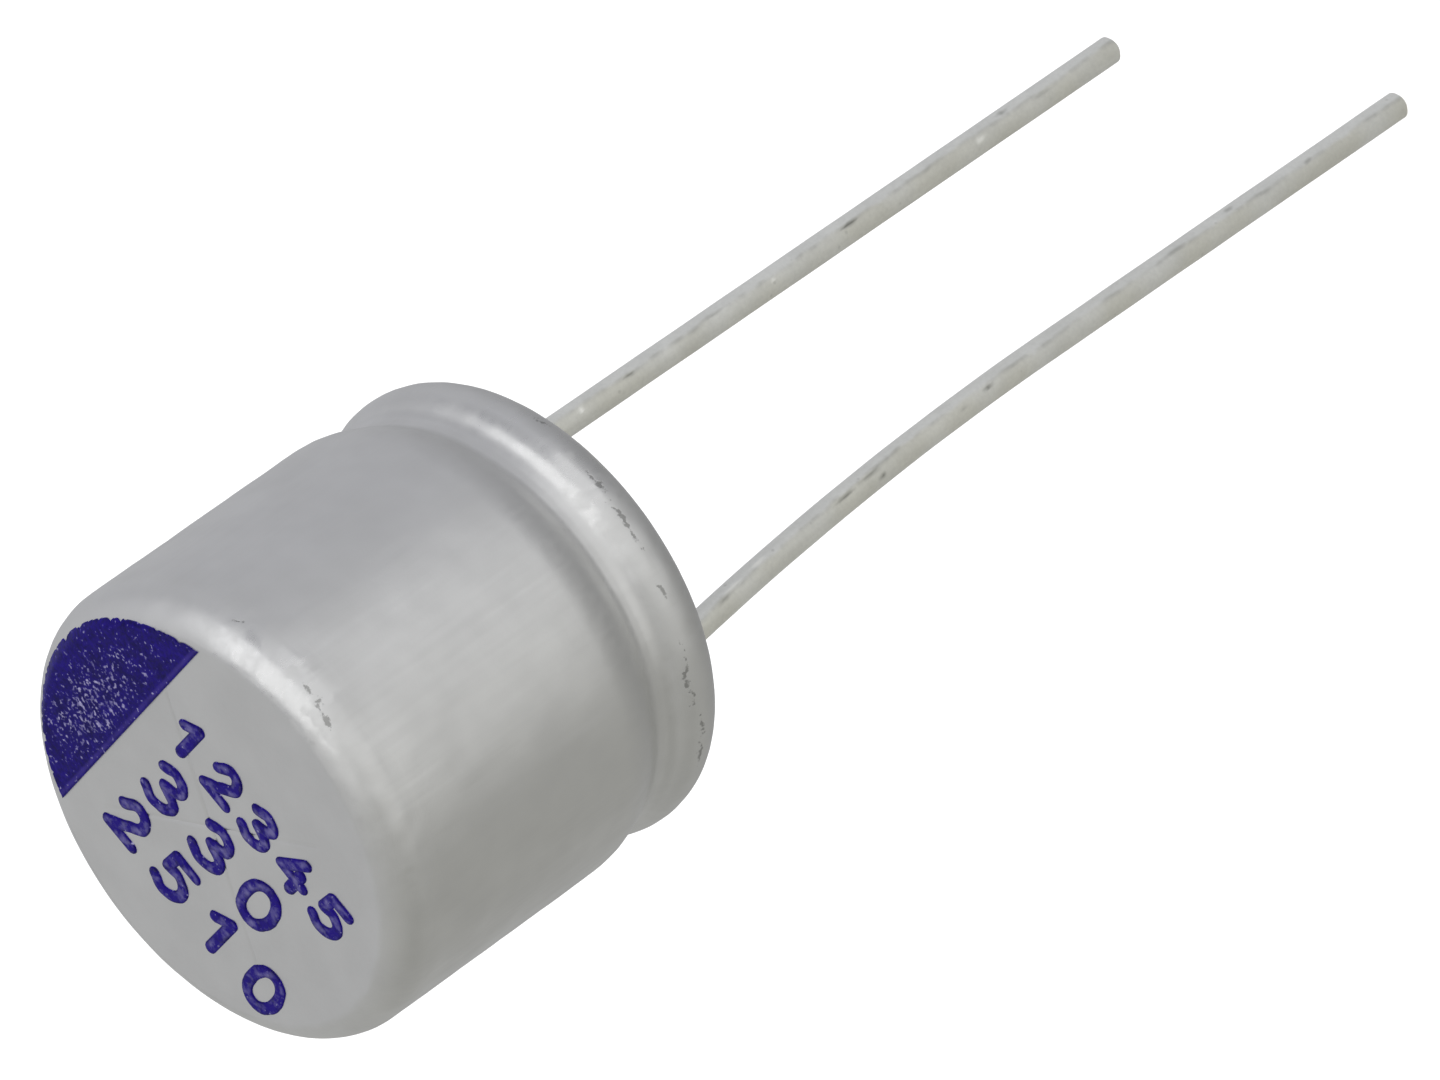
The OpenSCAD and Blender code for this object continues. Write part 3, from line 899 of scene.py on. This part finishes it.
class CAPACITOR_OT_numbers(bpy.types.Operator):
    """Print three rows of plain numbers on the closed end as raised strokes of ink"""

    bl_idname = "capacitor.numbers"
    bl_label = "Printed numbers"

    def execute(self, context):
        ink = context.scene.capacitor_print
        noise.seed_set(STRAY_SEED)
        bm = bmesh.new()
        for row, x, y, step, height in NUMBER_ROWS:
            for place, number in enumerate(getattr(ink, row)):
                at = Vector(((x + place * step) * MM, y * MM, context.scene.capacitor_can.height))
                laid = 0
                for kind, points in NUMBER_STROKES[number]:
                    for piece in zip(points, points[1:]) if kind == "bar" else [points]:
                        film = ink.film * (1 - 0.06 * laid)
                        self.stroke(bm, context, kind, piece, at, height * MM, film)
                        laid += 1
        add_piece("printed_numbers", bm, bpy.data.objects["ink_field"].active_material, "violet_ink")
        return {"FINISHED"}

    def stroke(self, bm, context, kind, points, at, height, film):
        """Sweeps one round-ended stroke, flattens it to a film of this thickness and adds it to the mesh."""
        ink = context.scene.capacitor_print
        radius = ink.stroke / 2
        mesh = self.sweep(context, kind, points, height, radius)
        line = bmesh.new()
        line.from_mesh(mesh)
        bmesh.ops.remove_doubles(line, verts=line.verts, dist=SNAP / 2)
        caps = bmesh.ops.holes_fill(line, edges=[edge for edge in line.edges if edge.is_boundary])["faces"]
        bmesh.ops.recalc_face_normals(line, faces=line.faces)
        for cap in caps:
            for start, end in END_STEPS:
                inward = math.cos(math.radians(start)) - math.cos(math.radians(end))
                outward = math.sin(math.radians(end)) - math.sin(math.radians(start))
                bmesh.ops.inset_region(line, faces=[cap], thickness=radius * inward, depth=radius * outward)
        for vert in line.verts:
            stray = noise.noise_vector(Vector((vert.co.x + at.x, vert.co.y + at.y, 0)) / MM * 5.0)
            vert.co.x += stray.x * ink.wobble
            vert.co.y += stray.y * ink.wobble
        bmesh.ops.scale(line, vec=(1, 1, CROWN * film / radius), verts=line.verts)
        crown = line.verts.layers.float.new("crown")
        for vert in line.verts:
            vert[crown] = max(0, vert.co.z / film / CROWN)
            vert.co.z = min(vert.co.z, film)
        whole = line.verts[:] + line.edges[:] + line.faces[:]
        bmesh.ops.bisect_plane(
            line, geom=whole, dist=SNAP, plane_co=(0, 0, 0), plane_no=(0, 0, 1), clear_inner=True)
        rim = [edge for edge in line.edges if edge.is_boundary]
        if kind == "ring":
            bmesh.ops.bridge_loops(line, edges=rim)
        else:
            bmesh.ops.edgenet_fill(line, edges=rim)
        bmesh.ops.translate(line, vec=at, verts=line.verts)
        line.to_mesh(mesh)
        line.free()
        bm.from_mesh(mesh)
        bpy.data.meshes.remove(mesh)

    def sweep(self, context, kind, points, height, radius):
        """Makes an open round tube along the stroke's points, as a mesh."""
        curve = bpy.data.curves.new("stroke", "CURVE")
        curve.dimensions = "3D"
        curve.bevel_depth = radius
        curve.bevel_resolution = 6
        curve.resolution_u = 10
        spline = curve.splines.new("BEZIER")
        spline.bezier_points.add(len(points) - 1)
        for point, (x, y) in zip(spline.bezier_points, points):
            point.co = (x * height, y * height, 0)
            point.handle_left_type = "VECTOR" if kind == "bar" else "AUTO"
            point.handle_right_type = point.handle_left_type
        spline.use_cyclic_u = kind == "ring"
        swept = bpy.data.objects.new("stroke", curve)
        context.scene.collection.objects.link(swept)
        context.view_layer.update()
        mesh = bpy.data.meshes.new_from_object(swept.evaluated_get(context.evaluated_depsgraph_get()))
        bpy.data.objects.remove(swept)
        bpy.data.curves.remove(curve)
        return mesh


class CAPACITOR_OT_inside(bpy.types.Operator):
    """Finish the tabs, the wound element and its tape inside the can"""

    bl_idname = "capacitor.inside"
    bl_label = "Inside"

    def execute(self, context):
        colours = context.scene.capacitor_finish
        tab = bare_tab(colours)
        for node, material in (
                ("cathode_tab", tab), ("anode_tab", tab), ("wound_element", rolled_foil(colours)),
                ("winding_tape", amber_film(colours))):
            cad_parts[node].material_slots[0].material = material
        return {"FINISHED"}


class CAPACITOR_OT_studio(bpy.types.Operator):
    """Set up the pale floor, the soft lights and the camera"""

    bl_idname = "capacitor.studio"
    bl_label = "Studio"

    def execute(self, context):
        scene = context.scene
        studio = scene.capacitor_studio
        self.floor(scene, studio)
        self.light(scene, "key_light", studio.key_power, *KEY_LIGHT)
        self.light(scene, "fill_light", studio.fill_power, *FILL_LIGHT)
        self.surroundings(scene, studio)
        self.camera(scene, studio)
        scene.view_settings.view_transform = "Standard"
        return {"FINISHED"}

    def floor(self, scene, studio):
        bm = bmesh.new()
        bmesh.ops.create_grid(bm, x_segments=8, y_segments=8, size=studio.floor_size)
        bmesh.ops.translate(bm, vec=(0, 0, CAD_BOX[0].z), verts=bm.verts)
        mesh = bpy.data.meshes.new("studio_floor")
        bm.to_mesh(mesh)
        bm.free()
        mesh.materials.append(pale_floor(scene.capacitor_finish))
        floor = bpy.data.objects.new("studio_floor", mesh)
        scene.collection.objects.link(floor)
        floor.visible_glossy = False

    def light(self, scene, name, watts, size, azimuth, elevation, distance):
        """Places a soft light in a direction from the can's middle, facing it."""
        lamp = bpy.data.lights.new(name, "AREA")
        lamp.energy = watts
        lamp.shape = "RECTANGLE"
        lamp.size, lamp.size_y = size
        holder = bpy.data.objects.new(name, lamp)
        scene.collection.objects.link(holder)
        across, up = math.radians(azimuth), math.radians(elevation)
        out = Vector((math.cos(up) * math.cos(across), math.cos(up) * math.sin(across), math.sin(up)))
        holder.location = Vector((0, 0, scene.capacitor_can.height / 2)) + out * distance
        holder.rotation_euler = out.to_track_quat("Z", "Y").to_euler()
        holder.visible_camera = False

    def surroundings(self, scene, studio):
        """Grey light: cool on one side, warm on the other, dimmer from below and at level from the sides."""
        world = bpy.data.worlds.new("studio_light")
        world.use_nodes = True
        scene.world = world
        sky = Nodes(world.node_tree)
        way = sky.axes(sky.add("ShaderNodeTexCoord").outputs["Generated"])
        warmer = sky.rises(way["X"], -0.85, 0.85)
        from_below = sky.spread(way["Z"], 0.66, 1.0, -0.98, -0.5)
        from_behind = sky.spread(way["Y"], 1.07, 1.0, -0.85, -0.3)
        level = sky.falls(sky.reckon("ABSOLUTE", way["Z"]), 0.05, 0.4)
        from_sides = sky.spread(sky.reckon("ABSOLUTE", way["X"]), 0.0, 0.17, 0.6, 0.9)
        strength = sky.minus(sky.times(from_below, from_behind), sky.times(level, from_sides))
        background = world.node_tree.nodes["Background"].inputs
        sky.feed(background["Strength"], strength)
        sky.feed(background["Color"], sky.blend(warmer, studio.cool, studio.warm))

    def camera(self, scene, studio):
        ahead = Vector(studio.camera_ahead).normalized()
        across = ahead.cross(Vector(studio.camera_up)).normalized()
        above = across.cross(ahead)
        lens = bpy.data.cameras.new("camera")
        lens.lens = studio.lens
        lens.sensor_width = 36
        lens.clip_start = 0.01
        lens.clip_end = 10
        camera = bpy.data.objects.new("camera", lens)
        scene.collection.objects.link(camera)
        turn = Matrix((across, above, -ahead)).transposed().to_4x4()
        camera.matrix_world = Matrix.Translation(Vector(studio.camera_place)) @ turn
        scene.camera = camera


class CAPACITOR_PT_pieces(bpy.types.Panel):
    """Lists the pieces and their sizes"""

    bl_idname = "CAPACITOR_PT_pieces"
    bl_label = "Hybrid capacitor"
    bl_space_type = "VIEW_3D"
    bl_region_type = "UI"
    bl_category = "Capacitor"

    def draw(self, context):
        for operator in OPERATORS:
            self.layout.operator(operator.bl_idname)
        for name in SETTINGS:
            group = getattr(context.scene, name)
            box = self.layout.box()
            for key in group.__annotations__:
                box.prop(group, key)


SETTINGS = {
    "capacitor_can": CanSizes,
    "capacitor_leads": LeadSizes,
    "capacitor_print": PrintSizes,
    "capacitor_finish": FinishColours,
    "capacitor_studio": StudioSettings,
}
OPERATORS = (
    CAPACITOR_OT_can, CAPACITOR_OT_bung, CAPACITOR_OT_leads, CAPACITOR_OT_mark, CAPACITOR_OT_numbers,
    CAPACITOR_OT_inside, CAPACITOR_OT_studio,
)


def register():
    for name, group in SETTINGS.items():
        bpy.utils.register_class(group)
        setattr(bpy.types.Scene, name, PointerProperty(type=group))
    for operator in OPERATORS:
        bpy.utils.register_class(operator)
    bpy.utils.register_class(CAPACITOR_PT_pieces)


def unregister():
    bpy.utils.unregister_class(CAPACITOR_PT_pieces)
    for operator in reversed(OPERATORS):
        bpy.utils.unregister_class(operator)
    for name, group in SETTINGS.items():
        delattr(bpy.types.Scene, name)
        bpy.utils.unregister_class(group)


def main():
    register()
    bpy.ops.capacitor.can()
    bpy.ops.capacitor.bung()
    bpy.ops.capacitor.leads()
    bpy.ops.capacitor.mark()
    bpy.ops.capacitor.numbers()
    bpy.ops.capacitor.inside()
    bpy.ops.capacitor.studio()


if __name__ == "__main__":
    main()
